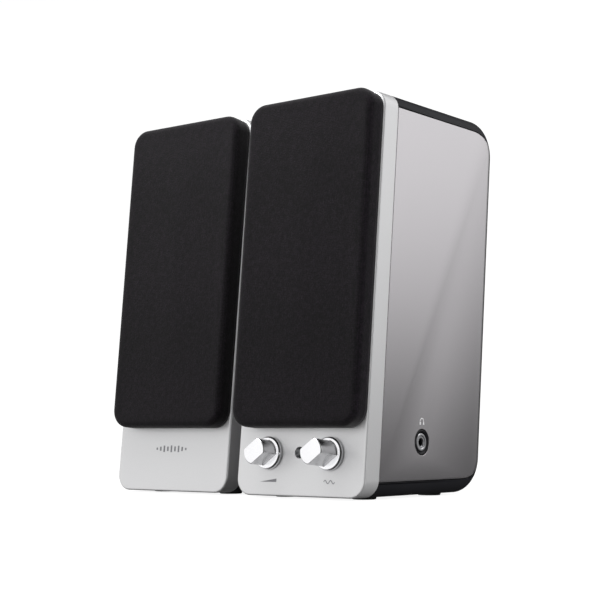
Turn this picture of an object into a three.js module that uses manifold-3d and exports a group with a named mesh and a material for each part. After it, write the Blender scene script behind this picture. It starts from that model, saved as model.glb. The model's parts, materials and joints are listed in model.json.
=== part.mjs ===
// A pair of small leaning desktop speakers: an active right cabinet with the amplifier and the
// controls, and a passive left cabinet. Millimetres, +X to the viewer's right, +Y to the back, +Z up.
import * as THREE from 'three';
import { mergeVertices } from 'three/addons/utils/BufferGeometryUtils.js';
import Module from 'manifold-3d';

// ---- Driving dimensions ----

// Cabinet
const cabinetWidth = 79;
const cabinetHeight = 200;
const cabinetDepth = 108;          // front face to back face, measured level
const leanDegrees = 5.8;           // front and back lean back together, top and base stay level
const edgeRadius = 8.4;            // rounding of the long edges
const rearTopRadius = 20;          // rear corners seen from the side
const rearBottomRadius = 17.5;
const shellWall = 2;
const seam = 0.3;                  // gap between pieces that meet
const speakerGap = 13.5;           // between the two cabinets
const satelliteSetBack = 7.7;

// Front bezel
const bezelDepth = 11.7;
const bezelWall = 2.4;
const bezelFillet = 1.3;
const spigotWall = 1.6;
const spigotLength = 4;

// Side covers, which wrap round the rear edge
const coverThickness = 2;
const coverMargin = 7.4;           // black strip left above and below the cover
const coverTopRun = 25;            // its rear corners are long quarter ovals
const coverTopRise = 20;
const coverBottomRun = 22;
const coverBottomRise = 16;

// Grille
const grilleInset = 0.5;
const grilleBottom = 33.4;         // heights on the front are measured up its slope
const grilleTopMargin = 0.7;
const grilleDepth = 10.4;          // at its middle
const grilleSwell = 1;             // thicker by this at the top and thinner at the bottom
const grilleCornerRadius = 9.5;
const grilleEdgeRadius = 3;
const clothThickness = 0.8;
const grilleRim = 2.2;
const grilleWeb = 1.8;
const crossbarWidth = 6;
const pegRadius = 2.4;
const pegInset = 10.5;
const windowInset = 5;             // bezel window inside the grille's outline

// Baffle and drivers
const baffleThickness = 4;
const wooferRadius = 33;
const wooferThroat = wooferRadius - 4.2;
const wooferDepth = 24;
const basketWindow = 26;
const coneRadius = wooferThroat - 4.8;
const coilRadius = 9.6;
const magnetRadius = 22;
const magnetDepth = 15;
const tweeterRadius = 24;
const tweeterDome = 10;
const tweeterBody = 15.5;

// Controls on the active front
const controlHeight = 21;
const controlSpread = 18.8;
const controlCentre = -0.45;
const lampHeight = 21.5;
const shaftRadius = 2.9;
const bushingRadius = 4.2;
const controlBody = 8;
const controlBodyDepth = 9;
const skirtRadius = 8.2;
const skirtFaceRadius = 7.2;
const skirtEdge = 1.2;             // straight part of the skirt, then its chamfer
const skirtHeight = 2.9;
const gripRadius = 6.5;
const gripFlats = 8.7;             // across the two flats
const gripAngle = 37;              // flats run this far above level
const volumeReach = 12.6;
const toneReach = 15.8;
const lampRadius = 2.5;

// Headphone socket in the active speaker's outer side
const jackSetBack = 47.4;
const jackHeight = 26.3;
const jackHole = 6.2;
const jackSleeve = 4.5;
const jackMouth = 3;
const jackCore = 2.7;
const jackBore = 1.8;

// Rear
const portHeight = 0.8 * cabinetHeight;
const portRadius = 9.5;
const portWall = 1.6;
const portFlange = 15;
const portLength = 52;
const panelThickness = 1.9;
const panelLedge = 6;
const activePanel = { width: 54, bottom: 20, height: 92 };
const satellitePanel = { width: 44, bottom: 30, height: 44 };
const socketRadius = 4.1;
const socketFlange = 5.5;
const screwRadius = 1.2;
const boardThickness = 1.6;

// Feet
const footRadius = 6;
const footHeight = 2;
const footSunk = 0.8;
const footInset = 15.5;
const footFront = 22;
const footRear = 80;

// Facets round a full turn, then round a quarter turn
const fineSteps = 16;
const roundSteps = 12;
const smallSteps = 8;
const cornerSteps = 4;
const rearSteps = 5;
const underSteps = 3;              // under the side covers
const hiddenSteps = 2;

// ---- Materials ----

const finish = (color, roughness, metalness) => new THREE.MeshStandardMaterial(
  { color, roughness, metalness });
const silver = finish(0xc9cacc, 0.35, 0.6);
const panelSilver = finish(0xb4b4b8, 0.4, 0.6);
const blackShell = finish(0x222224, 0.5, 0);
const blackPlastic = finish(0x17171a, 0.55, 0);
const clothBlack = finish(0x1d1b20, 0.95, 0);
const rubberBlack = finish(0x121212, 0.9, 0);
const paperCone = finish(0x2a2a2c, 0.8, 0);
const chrome = finish(0xd8dadc, 0.15, 1);
const steel = finish(0x8f9296, 0.4, 0.9);
const aluminium = finish(0xb9bcc0, 0.4, 0.9);
const boardGreen = finish(0x1f5a35, 0.6, 0);
const lampGrey = finish(0x8a8d90, 0.25, 0);

// ---- Geometry helpers ----

const wasm = await Module();
wasm.setup();

function closed(geometry) {
  const bare = geometry.clone();
  bare.deleteAttribute('normal');
  bare.deleteAttribute('uv');
  const merged = mergeVertices(bare, 1e-4);
  const index = merged.index.array;
  const kept = [];
  for (let i = 0; i < index.length; i += 3) {
    const [a, b, c] = [index[i], index[i + 1], index[i + 2]];
    if (a !== b && b !== c && c !== a) kept.push(a, b, c);
  }
  merged.setIndex(kept);
  if (signedVolume(merged) < 0) {
    for (let i = 0; i < kept.length; i += 3) [kept[i], kept[i + 1]] = [kept[i + 1], kept[i]];
    merged.setIndex(kept);
  }
  return merged;
}

function signedVolume(geometry) {
  const corner = [0, 1, 2].map(() => new THREE.Vector3());
  const index = geometry.index.array;
  let volume = 0;
  for (let i = 0; i < index.length; i += 3) {
    corner.forEach((point, k) => point.fromBufferAttribute(geometry.attributes.position, index[i + k]));
    volume += corner[0].dot(corner[1].cross(corner[2])) / 6;
  }
  return volume;
}

function solid(geometry) {
  const shape = closed(geometry);
  return new wasm.Manifold(new wasm.Mesh({
    numProp: 3,
    vertProperties: new Float32Array(shape.attributes.position.array),
    triVerts: new Uint32Array(shape.index.array),
  }));
}

function surface(body) {
  const mesh = body.getMesh();
  const geometry = new THREE.BufferGeometry();
  geometry.setAttribute('position', new THREE.BufferAttribute(new Float32Array(mesh.vertProperties), 3));
  geometry.setIndex(new THREE.BufferAttribute(new Uint32Array(mesh.triVerts), 1));
  return geometry;
}

// Skins a stack of rings that all have the same number of points, and closes both ends with a fan.
function loft(rings) {
  const count = rings[0].length;
  const points = rings.flat();
  const index = [];
  for (let ring = 0; ring < rings.length - 1; ring += 1) {
    for (let i = 0; i < count; i += 1) {
      const [a, b] = [ring * count + i, ring * count + ((i + 1) % count)];
      index.push(a, b, b + count, a, b + count, a + count);
    }
  }
  for (const end of [0, rings.length - 1]) {
    const middle = points.length;
    const centre = rings[end].reduce((sum, point) => sum.add(point), new THREE.Vector3());
    points.push(centre.divideScalar(count));
    for (let i = 0; i < count; i += 1) {
      const [a, b] = [end * count + i, end * count + ((i + 1) % count)];
      index.push(middle, ...(end === 0 ? [b, a] : [a, b]));
    }
  }
  const geometry = new THREE.BufferGeometry().setFromPoints(points);
  geometry.setIndex(index);
  return geometry;
}

// A profile of [radius, y] points turned about the Y axis.
function revolve(profile, steps = roundSteps) {
  const points = profile.map(([radius, y]) => new THREE.Vector2(radius, y));
  if (profile[0][0] > 0) points.push(points[0].clone());
  return closed(new THREE.LatheGeometry(points, steps));
}

const rod = (radius, from, to, steps = roundSteps) => revolve(
  [[0, from], [radius, from], [radius, to], [0, to]], steps);

const block = (width, depth, height, x, y, z) => new THREE.BoxGeometry(width, depth, height)
  .translate(x, y, z);

// Points of a rounded rectangle standing between `bottom` and `top`, centred on x = 0.
function roundedOutline(width, bottom, top, radius, steps = cornerSteps) {
  const points = [];
  const corners = [[1, bottom, -90], [1, top, 0], [-1, top, 90], [-1, bottom, 180]];
  for (const [side, edge, start] of corners) {
    const x = side * (width / 2 - radius);
    const z = edge === bottom ? bottom + radius : top - radius;
    for (let i = 0; i <= steps; i += 1) {
      const angle = THREE.MathUtils.degToRad(start + (90 * i) / steps);
      points.push(new THREE.Vector2(x + radius * Math.cos(angle), z + radius * Math.sin(angle)));
    }
  }
  return points;
}

const circle = (x, z, radius, steps) => Array.from({ length: steps }, (_, i) => {
  const angle = (-2 * Math.PI * i) / steps;
  return new THREE.Vector2(x + radius * Math.sin(angle), z + radius * Math.cos(angle));
});

const ringAt = (outline, y) => outline.map((point) => new THREE.Vector3(point.x, y, point.y));

// A flat plate in the XZ plane between two depths, with round holes given as [x, z, radius].
function plate(outline, from, to, holes = []) {
  const shape = new THREE.Shape(outline);
  for (const [x, z, radius] of holes) {
    const steps = radius < socketFlange ? smallSteps : roundSteps;
    shape.holes.push(new THREE.Path(circle(x, z, radius, steps)));
  }
  const options = { depth: to - from, bevelEnabled: false };
  return new THREE.ExtrudeGeometry(shape, options).rotateX(Math.PI / 2).translate(0, to, 0);
}

// An outline drawn in Y and Z, extruded along X.
const intoX = new THREE.Matrix4().makeBasis(
  new THREE.Vector3(0, 1, 0), new THREE.Vector3(0, 0, 1), new THREE.Vector3(1, 0, 0));

function sidePrism(shape, from, to) {
  const options = { depth: to - from, bevelEnabled: false, curveSegments: rearSteps };
  return new THREE.ExtrudeGeometry(shape, options).applyMatrix4(intoX).translate(from, 0, 0);
}

const turnedToX = (geometry) => geometry.rotateZ(-Math.PI / 2);
const placed = (geometry, x, y, z) => geometry.translate(x, y, z);

const lean = THREE.MathUtils.degToRad(leanDegrees);
const leanShear = new THREE.Matrix4().set(1, 0, 0, 0, 0, 1, Math.tan(lean), 0, 0, 0, 1, 0, 0, 0, 0, 1);
const leanTurn = new THREE.Matrix4().makeRotationX(-lean);
const sheared = (geometry) => geometry.applyMatrix4(leanShear);
const slopeTop = cabinetHeight / Math.cos(lean);

// Places a geometry made on the upright front plane onto the leaning front plane, or the back one.
const onFront = (geometry) => geometry.applyMatrix4(leanTurn);
const onBack = (geometry) => onFront(geometry).translate(0, cabinetDepth, 0);

// ---- Cabinet ----

// The cabinet's outer form moved inwards by `inset`: a stack of side profiles along X, each drawn in
// as the long edges round over, before the form leans.
function cabinetForm(inset, edgeSteps = cornerSteps, sideSteps = rearSteps) {
  const half = cabinetWidth / 2 - inset;
  const round = edgeRadius - inset;
  const rings = [];
  for (const side of [-1, 1]) {
    for (let i = 0; i <= edgeSteps; i += 1) {
      const share = side < 0 ? edgeSteps - i : i;
      const angle = (Math.PI / 2) * (share / edgeSteps);
      const drawIn = inset + round * (1 - Math.cos(angle));
      const x = side * (half - round + round * Math.sin(angle));
      rings.push(sideProfile(drawIn, sideSteps).map(([y, z]) => new THREE.Vector3(x, y, z)));
    }
  }
  return loft(rings);
}

function sideProfile(drawIn, steps) {
  const points = [[-bezelDepth, drawIn]];
  const corners = [
    [rearBottomRadius, rearBottomRadius, -90],
    [rearTopRadius, cabinetHeight - rearTopRadius, 0],
  ];
  for (const [radius, z, start] of corners) {
    for (let i = 0; i <= steps; i += 1) {
      const angle = THREE.MathUtils.degToRad(start + (90 * i) / steps);
      const reach = radius - drawIn;
      points.push([cabinetDepth - radius + reach * Math.cos(angle), z + reach * Math.sin(angle)]);
    }
  }
  points.push([-bezelDepth, cabinetHeight - drawIn]);
  return points;
}

// The side cover's outline seen from the side, grown by `growth` for the recess that takes it.
function coverOutline(growth) {
  const front = bezelDepth + seam - growth;
  const back = cabinetDepth + 1;
  const bottom = coverMargin - growth;
  const top = cabinetHeight - coverMargin + growth;
  const shape = new THREE.Shape();
  shape.moveTo(front, bottom);
  shape.lineTo(back - coverBottomRun, bottom);
  shape.absellipse(back - coverBottomRun, bottom + coverBottomRise, coverBottomRun, coverBottomRise,
    -Math.PI / 2, 0);
  shape.lineTo(back, top - coverTopRise);
  shape.absellipse(back - coverTopRun, top - coverTopRise, coverTopRun, coverTopRise, 0, Math.PI / 2);
  shape.lineTo(front, top);
  return shape;
}

function coverZone(side, growth) {
  const inner = cabinetWidth / 2 - edgeRadius - growth;
  const outer = cabinetWidth / 2 + 1;
  const [from, to] = side > 0 ? [inner, outer] : [-outer, -inner];
  return solid(sidePrism(coverOutline(growth), from, to));
}

const wallUnderCover = coverThickness + seam + shellWall;

function backPanelOutline(panel, shrink) {
  return roundedOutline(panel.width - 2 * shrink, panel.bottom + shrink,
    panel.bottom + panel.height - shrink, 4 - Math.min(shrink, 2), hiddenSteps);
}

function screwPlaces(panel) {
  const x = panel.width / 2 - panelLedge / 2;
  const [low, high] = [panel.bottom + panelLedge / 2, panel.bottom + panel.height - panelLedge / 2];
  return [['bottom_left', -x, low], ['bottom_right', x, low], ['top_left', -x, high], ['top_right', x, high]];
}

function footPlaces() {
  const x = cabinetWidth / 2 - footInset;
  return [['front_left', -x, footFront], ['front_right', x, footFront],
    ['rear_left', -x, footRear], ['rear_right', x, footRear]];
}

function cabinetShell(panel, hasJack) {
  let shell = solid(cabinetForm(0)).subtract(solid(cabinetForm(wallUnderCover, hiddenSteps, hiddenSteps)));
  const keptFront = bezelDepth + seam;
  shell = shell.subtract(solid(block(2 * cabinetWidth, 4 * bezelDepth, 2 * cabinetHeight,
    0, keptFront - 2 * bezelDepth, cabinetHeight / 2)));
  for (const side of [-1, 1]) {
    const floor = solid(cabinetForm(coverThickness + seam, underSteps, underSteps));
    shell = shell.subtract(coverZone(side, seam).subtract(floor));
  }
  shell = solid(sheared(surface(shell)));
  const pocket = panelThickness + 2 * seam;
  const cuts = [
    onBack(plate(backPanelOutline(panel, -seam), -pocket, 3)),
    onBack(plate(backPanelOutline(panel, panelLedge), -3 * wallUnderCover, 3)),
    onBack(placed(rod(portRadius + portWall + seam, -3 * wallUnderCover, 3, fineSteps), 0, 0, portHeight)),
    onBack(placed(rod(portFlange + seam, -1.5 - seam, 3, fineSteps), 0, 0, portHeight)),
  ];
  for (const [, x, z] of screwPlaces(panel)) {
    cuts.push(onBack(placed(rod(screwRadius + seam, -3 * wallUnderCover, 0, smallSteps), x, 0, z)));
  }
  for (const [, x, y] of footPlaces()) {
    cuts.push(placed(rod(footRadius + seam, -1, footSunk).rotateX(Math.PI / 2), x, y, 0));
  }
  if (hasJack) cuts.push(jackCut(jackHole - 1));
  return surface(cuts.reduce((body, cut) => body.subtract(solid(cut)), shell));
}

const jackAt = (geometry) => placed(turnedToX(geometry),
  cabinetWidth / 2, jackSetBack + jackHeight * Math.tan(lean), jackHeight);
const jackCut = (radius) => jackAt(rod(radius, -3 * wallUnderCover, 3, fineSteps));

function sideCover(side, hasJack) {
  let cover = solid(cabinetForm(0)).intersect(coverZone(side, 0));
  cover = cover.subtract(solid(cabinetForm(coverThickness, underSteps, underSteps)));
  let body = solid(sheared(surface(cover)));
  if (hasJack) body = body.subtract(solid(jackCut(jackHole + seam)));
  return surface(body);
}

// ---- Front bezel ----

const bezelOutline = (inset, steps) => roundedOutline(cabinetWidth - 2 * inset, inset, cabinetHeight - inset,
  edgeRadius - inset, steps);

const grilleTop = slopeTop - grilleTopMargin;
const windowBottom = grilleBottom + windowInset;
const windowTop = grilleTop - windowInset;
const windowOutline = roundedOutline(cabinetWidth - 2 * (grilleInset + windowInset), windowBottom, windowTop,
  grilleCornerRadius - windowInset / 2, hiddenSteps);

// The two drivers share out the free height of the window.
const freeHeight = windowTop - windowBottom - 2 * wooferRadius - 2 * tweeterRadius;
const wooferHeight = windowBottom + 0.2 * freeHeight + wooferRadius;
const tweeterHeight = windowTop - 0.48 * freeHeight - tweeterRadius;

function frontBezel(holes) {
  const rings = [];
  for (let i = 0; i <= 2; i += 1) {
    const angle = (Math.PI / 2) * (i / 2);
    const inset = bezelFillet * (1 - Math.sin(angle));
    rings.push(ringAt(bezelOutline(inset), bezelFillet * (1 - Math.cos(angle))));
  }
  rings.push(ringAt(bezelOutline(0), bezelDepth));
  const spigotOuter = wallUnderCover + seam;
  const spigotInner = spigotOuter + spigotWall;
  const ledge = bezelDepth - 2;
  const spigotEnd = bezelDepth + spigotLength;
  const between = (inset, from, to) => solid(loft([ringAt(bezelOutline(inset, hiddenSteps), from),
    ringAt(bezelOutline(inset, hiddenSteps), to)]));
  let body = solid(loft(rings)).subtract(between(bezelWall, bezelWall, ledge));
  body = body.add(between(spigotOuter, ledge, spigotEnd));
  body = body.subtract(between(spigotInner, bezelWall, spigotEnd + 1));
  body = solid(sheared(surface(body)));
  body = body.subtract(solid(onFront(plate(windowOutline, -3, bezelWall + 2))));
  for (const [x, z, radius] of holes) {
    body = body.subtract(solid(onFront(placed(rod(radius, -3, bezelWall + 2), x, 0, z))));
  }
  return surface(body);
}

// ---- Grille ----

const grilleOutline = (inset, steps) => roundedOutline(cabinetWidth - 2 * (grilleInset + inset),
  grilleBottom + inset, grilleTop - inset, Math.max(grilleCornerRadius - inset, 1), steps);

// Depths in the grille grow towards its top.
function swollen(geometry) {
  const place = geometry.attributes.position;
  const middle = (grilleBottom + grilleTop) / 2;
  for (let i = 0; i < place.count; i += 1) {
    const share = (place.getZ(i) - middle) / (grilleTop - middle);
    place.setY(i, place.getY(i) * (1 + (share * grilleSwell) / grilleDepth));
  }
  return geometry;
}

// The grille's form moved inwards by `inset`, from its back at `back` to its rounded front.
function grilleForm(inset, back, steps = 3) {
  const front = -grilleDepth + inset;
  const round = grilleEdgeRadius - inset / 2;
  const rings = [ringAt(grilleOutline(inset), back)];
  for (let i = 0; i <= steps; i += 1) {
    const angle = (Math.PI / 2) * (i / steps);
    const outline = grilleOutline(inset + round * (1 - Math.cos(angle)));
    rings.push(ringAt(outline, front + round * (1 - Math.sin(angle))));
  }
  return swollen(loft(rings));
}

function grilleCloth() {
  return surface(solid(grilleForm(0, -seam)).subtract(solid(grilleForm(clothThickness, 1, 1))));
}

const pegPlaces = [-1, 1].flatMap((side) => [grilleBottom + pegInset, grilleTop - pegInset].map(
  (z) => [side * (cabinetWidth / 2 - grilleInset - pegInset), z]));

function grilleFrame() {
  const outer = clothThickness + seam;
  const webBack = -grilleDepth + outer + grilleWeb;
  let body = solid(grilleForm(outer, -seam, 1));
  const rim = grilleOutline(outer + grilleRim, hiddenSteps);
  const hollow = swollen(loft([ringAt(rim, webBack), ringAt(rim, 2)]));
  body = body.subtract(solid(hollow));
  const side = outer + grilleRim + 3;
  const bar = (wooferHeight + wooferRadius + tweeterHeight - tweeterRadius) / 2;
  const width = cabinetWidth - 2 * (grilleInset + side);
  const windows = [
    [grilleBottom + side, bar - crossbarWidth / 2, width * 0.45],
    [bar + crossbarWidth / 2, grilleTop - side, width * 0.4],
  ];
  for (const [bottom, top, radius] of windows) {
    const round = Math.min(radius, 0.48 * (top - bottom));
    body = body.subtract(solid(plate(roundedOutline(width, bottom, top, round), -2 * grilleDepth, 1)));
  }
  for (const [x, z] of pegPlaces) {
    body = body.add(solid(placed(revolve([[0, webBack - 0.7], [pegRadius, webBack - 0.7],
      [pegRadius, bezelWall + baffleThickness - 1], [pegRadius - 0.8, bezelWall + baffleThickness],
      [0, bezelWall + baffleThickness]], 8), x, 0, z)));
  }
  return surface(body);
}

// ---- Baffle and drivers, turned about the Y axis ----

const baffleFront = bezelWall + seam;

function baffle() {
  const inset = bezelWall + 0.4;
  const bottom = controlHeight + controlBody + 1;
  const top = slopeTop - inset - 1.4;
  const outline = roundedOutline(cabinetWidth - 2 * inset, bottom, top, edgeRadius - inset, hiddenSteps);
  const holes = [[0, wooferHeight, wooferThroat + 0.7], [0, tweeterHeight, tweeterBody + 0.7]];
  for (const [x, z] of pegPlaces) holes.push([x, z, pegRadius + seam]);
  return plate(outline, baffleFront, baffleFront + baffleThickness, holes);
}

const flangeBack = baffleFront - seam;
const flangeFront = flangeBack - 2.5;
const surroundLedge = flangeFront + 0.8;

function wooferBasket() {
  const back = flangeBack + wooferDepth - 4;
  const body = solid(revolve([
    [wooferRadius, flangeFront], [wooferRadius, flangeBack], [wooferThroat, flangeBack],
    [magnetRadius, back], [magnetRadius, back + 2], [coilRadius + 3, back + 2], [coilRadius + 3, back],
    [magnetRadius - 1.8, back], [wooferThroat - 1.8, flangeBack + 1], [wooferThroat - 1.6, surroundLedge],
    [wooferRadius - 2.8, surroundLedge], [wooferRadius - 2.8, flangeFront],
  ]));
  let basket = body;
  for (let i = 0; i < 4; i += 1) {
    const angle = (Math.PI / 2) * i;
    const opening = block(2 * wooferThroat, back - flangeBack - 7, basketWindow,
      wooferThroat + 9, (back + flangeBack) / 2 + 1, 0);
    basket = basket.subtract(solid(opening.rotateY(angle)));
  }
  return surface(basket);
}

const magnetFront = flangeBack + wooferDepth - 2 + seam;

function wooferMagnet() {
  const back = magnetFront + magnetDepth;
  return revolve([
    [0, magnetFront - 1], [coilRadius - 1.2, magnetFront - 1], [coilRadius - 1.2, back - 4],
    [coilRadius + 1.2, back - 4], [coilRadius + 1.2, magnetFront], [magnetRadius - 2, magnetFront],
    [magnetRadius, magnetFront + 3], [magnetRadius, back - 3], [magnetRadius - 2, back], [0, back],
  ]);
}

const coneRim = surroundLedge;
const neckDepth = 13;

function wooferCone() {
  const neck = coneRim + neckDepth;
  const flank = (coneRadius + coilRadius) / 2 - 1;
  return revolve([
    [0, neck - 4.6], [5.5, neck - 3.4], [coilRadius + 0.4, neck], [flank, coneRim + 5.4],
    [coneRadius - 1.6, coneRim], [coneRadius, coneRim], [coneRadius, coneRim + 0.7],
    [coneRadius - 1.4, coneRim + 0.8], [flank, coneRim + 6.4],
    [coilRadius + 0.3, neck + 1], [coilRadius + 0.3, magnetFront + 7], [coilRadius - 0.3, magnetFront + 7],
    [coilRadius - 0.3, neck + 0.4], [5.2, neck - 2.7], [0, neck - 3.9],
  ]);
}

// The half-roll between the cone's rim and the basket's ledge.
function wooferSurround() {
  const back = coneRim - seam;
  const inner = coneRadius + 0.2;
  const outer = wooferThroat - 0.6;
  const middle = (inner + outer) / 2;
  const radius = (outer - inner) / 2;
  const thickness = 0.5;
  const arc = (r, sign) => [0, 1, 2, 3].map((i) => {
    const angle = (Math.PI * i) / 3;
    return [middle - sign * r * Math.cos(angle), back - r * Math.sin(angle)];
  });
  return revolve([
    [inner - 1.6, back], [inner - 1.6, back - thickness],
    ...arc(radius, 1).map(([r, y]) => [r, y - thickness]),
    [outer + 1.6, back - thickness], [outer + 1.6, back], ...arc(radius - 0.1, -1),
  ]);
}

function tweeterUnit() {
  const back = flangeBack + 18;
  return revolve([
    [0, flangeFront + 7], [tweeterDome + 2.6, flangeFront + 7], [tweeterDome + 2.6, flangeFront + 2],
    [tweeterDome + 6, flangeFront + 0.6], [tweeterRadius - 1, flangeFront], [tweeterRadius, flangeFront + 0.8],
    [tweeterRadius, flangeBack], [tweeterBody, flangeBack], [tweeterBody, back], [0, back],
  ]);
}

function tweeterDiaphragm() {
  const base = flangeFront + 6.6;
  const dome = [0, 1, 2, 3].map((i) => {
    const angle = (Math.PI / 2) * (i / 3);
    return [tweeterDome * Math.sin(angle), base - 1 - 4 * Math.cos(angle)];
  });
  return revolve([...dome, [tweeterDome + 2, base - 0.8], [tweeterDome + 2, base], [0, base]]);
}

// ---- Controls ----

const standOff = 0.5;

function knob(reach) {
  let body = solid(revolve([
    [0, -reach], [gripRadius - 0.4, -reach], [gripRadius, -reach + 0.4], [gripRadius, -skirtHeight],
    [skirtFaceRadius, -skirtHeight], [skirtRadius, -standOff - skirtEdge], [skirtRadius, -standOff],
    [shaftRadius + seam, -standOff], [shaftRadius + seam, 3 - reach], [0, 3 - reach],
  ], fineSteps));
  for (const side of [-1, 1]) {
    const length = reach - skirtHeight + 2;
    const flat = block(4 * gripRadius, length, gripRadius, 0, -skirtHeight - length / 2,
      side * (gripFlats + gripRadius) / 2);
    body = body.subtract(solid(flat.rotateY(-THREE.MathUtils.degToRad(gripAngle))));
  }
  return surface(body);
}

const controlFront = bezelWall + seam;

const shaft = (reach) => rod(shaftRadius, 3 + seam - reach, controlFront + controlBodyDepth / 2);

function controlUnit() {
  const back = controlFront + controlBodyDepth;
  const bore = shaftRadius + seam;
  const boreEnd = controlFront + controlBodyDepth / 2 + seam;
  const body = solid(revolve([
    [0, boreEnd], [bore, boreEnd], [bore, -standOff + seam], [bushingRadius, -standOff + seam],
    [bushingRadius, controlFront], [controlBody, controlFront], [controlBody, back], [0, back],
  ]));
  const terminals = block(13, 3, 4, 0, controlFront + 4, -controlBody - 0.5);
  return surface(body.add(solid(terminals)));
}

function controlBoard() {
  const back = controlFront + controlBodyDepth + seam;
  const width = 2 * (controlSpread + controlBody) + 3;
  const outline = roundedOutline(width, controlHeight - 11, controlHeight + 7.5, 1, 1);
  return plate(outline, back, back + boardThickness);
}

function lamp() {
  const rear = controlFront + 5;
  return revolve([
    [0, -1], [lampRadius * 0.6, -0.8], [lampRadius, 0], [lampRadius, controlFront], [lampRadius + 0.5, controlFront],
    [lampRadius + 0.5, rear], [0, rear],
  ]);
}

// ---- Headphone socket, turned about the X axis, zero at the side's face ----

const jackCollar = () => revolve([
  [jackSleeve + seam, -1], [jackHole - 0.5, -0.1], [jackHole, -0.4], [jackHole, -coverThickness],
  [jackHole - 1.3, -coverThickness], [jackHole - 1.3, -wallUnderCover], [jackSleeve + seam - 0.2, -wallUnderCover],
  [jackSleeve + seam, -wallUnderCover + 0.2],
], fineSteps);

const sleeveShank = jackMouth + 0.6;

const jackSleeveBody = () => revolve([
  [jackMouth, -0.6], [jackMouth + 0.3, -0.3], [jackSleeve - 0.3, -0.3], [jackSleeve, -0.6], [jackSleeve, -3.8],
  [sleeveShank, -4], [sleeveShank, -12], [jackMouth, -12],
], fineSteps);

// The body behind the wall, with a core that stands inside the sleeve and takes the plug.
function jackBody() {
  const front = -wallUnderCover - 2 * seam;
  const length = 14;
  const box = solid(block(11, length, 11, 0, front - length / 2, 0));
  return surface(box.subtract(solid(rod(sleeveShank + seam, -12.4, 1, roundSteps)))
    .add(solid(rod(jackCore, -13, -1.6, roundSteps))).subtract(solid(rod(jackBore, -16, 0, smallSteps))));
}

// ---- Rear pieces, on the back plane with the outside at positive Y ----

const panelFace = -seam;

function rearPanel(panel, holes) {
  const screws = screwPlaces(panel).map(([, x, z]) => [x, z, screwRadius + seam]);
  return plate(backPanelOutline(panel, 0), panelFace - panelThickness, panelFace, [...holes, ...screws]);
}

// Phono socket: a flange, a barrel outside and a body through the panel.
const phonoSocket = () => revolve([
  [1.7, 9], [socketRadius - 0.5, 9], [socketRadius, 8.5], [socketRadius, 1.8], [socketFlange, 1.8],
  [socketFlange, 0], [socketRadius - 0.4, 0], [socketRadius - 0.4, -8], [0, -8], [0, -4], [1.7, -4],
], smallSteps);

const powerInlet = () => revolve([
  [0, 1], [1, 0.6], [1, -6], [3.1, -6], [3.1, 1.6], [socketFlange, 1.6], [socketFlange, 0],
  [socketRadius - 0.1, 0], [socketRadius - 0.1, -9], [0, -9],
], smallSteps);

const screw = () => revolve([
  [0, 1.7], [1.6, 1.5], [2.6, 0.7], [2.6, 0], [screwRadius, 0], [screwRadius, -7], [0, -7.6],
], smallSteps);

const portTube = () => revolve([
  [portRadius + 2.5, 0], [portFlange - 0.6, 0], [portFlange, -0.6], [portFlange, -1.5],
  [portRadius + portWall, -1.5], [portRadius + portWall, -portLength], [portRadius, -portLength],
  [portRadius, -3.5], [portRadius + 0.8, -1],
], fineSteps);

function amplifierBoard(panel) {
  const [bottom, top] = [panel.bottom + panelLedge + 2, panel.bottom + panel.height - panelLedge - 2];
  const y = -14;
  let body = solid(plate(roundedOutline(36, bottom, top, 1, 1), y - boardThickness, y));
  const lift = y - boardThickness;
  body = body.add(solid(placed(rod(5, lift - 16, lift + 0.5, smallSteps), 9, 0, bottom + 52)));
  body = body.add(solid(placed(rod(4, lift - 11, lift + 0.5, smallSteps), -9, 0, bottom + 52)));
  body = body.add(solid(block(12, 6, 9, 0, lift - 2.6, bottom + 36)));
  return surface(body);
}

// A finned extrusion standing behind the board.
function heatSink() {
  const fins = 7;
  const [width, depth, base, fin] = [34, 14, 3, 1.8];
  const pitch = (width - fin) / (fins - 1);
  const points = [new THREE.Vector2(0, 0), new THREE.Vector2(width, 0)];
  for (let i = fins - 1; i >= 0; i -= 1) {
    const left = i * pitch;
    points.push(new THREE.Vector2(left + fin, i === fins - 1 ? depth : base));
    if (i < fins - 1) points.push(new THREE.Vector2(left + fin, depth));
    points.push(new THREE.Vector2(left, depth));
    if (i > 0) points.push(new THREE.Vector2(left, base));
  }
  const options = { depth: 26, bevelEnabled: false };
  return new THREE.ExtrudeGeometry(new THREE.Shape(points), options).rotateX(Math.PI)
    .translate(-width / 2, 0, 26);
}

// ---- Assembly ----

const boardPlane = -14 - boardThickness;

function named(name, geometry, material, position = [0, 0, 0]) {
  const mesh = new THREE.Mesh(closed(geometry), material);
  mesh.name = name;
  mesh.position.set(...position);
  return mesh;
}

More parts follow.
